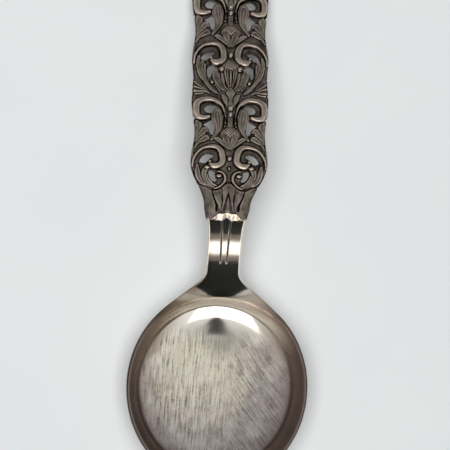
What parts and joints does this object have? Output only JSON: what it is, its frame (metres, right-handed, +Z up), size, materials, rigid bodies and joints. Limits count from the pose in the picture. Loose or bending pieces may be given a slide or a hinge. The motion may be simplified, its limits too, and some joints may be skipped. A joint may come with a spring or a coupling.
{
  "type": "serving spoon",
  "caption": "Round-bowl silver serving spoon with a plain reeded neck, a leaf cuff and a curved openwork handle of carved scrolls and leaves.",
  "frame": {"origin": "middle of the flat foot under the bowl, on the table", "axes": "+Y along the handle towards its end, +Z up with the bowl open upwards, +X to the right seen from above with the handle away"},
  "size_m": [0.055, 0.1711, 0.022],
  "materials": {
    "brushed_silver": "satin, fine scratches, light tarnish",
    "oxidised_silver": "worn bright on the high carving, dark tarnish in the ground",
    "plain_silver": "plain satin, light tarnish",
    "bright_silver": "polished"
  },
  "bodies": {
    "root": {"bowl_and_neck": "brushed_silver", "leaf_cuff": "oxidised_silver", "handle_front": "oxidised_silver", "handle_back": "plain_silver", "heart_bead_1": "bright_silver", "lyre_bead_large_1": "bright_silver", "lyre_bead_small_1": "bright_silver", "shell_bead_left_1": "bright_silver", "shell_bead_right_1": "bright_silver", "heart_bead_2": "bright_silver", "lyre_bead_large_2": "bright_silver", "lyre_bead_small_2": "bright_silver", "shell_bead_left_2": "bright_silver", "shell_bead_right_2": "bright_silver", "heart_bead_3": "bright_silver"}
  },
  "joints": []
}
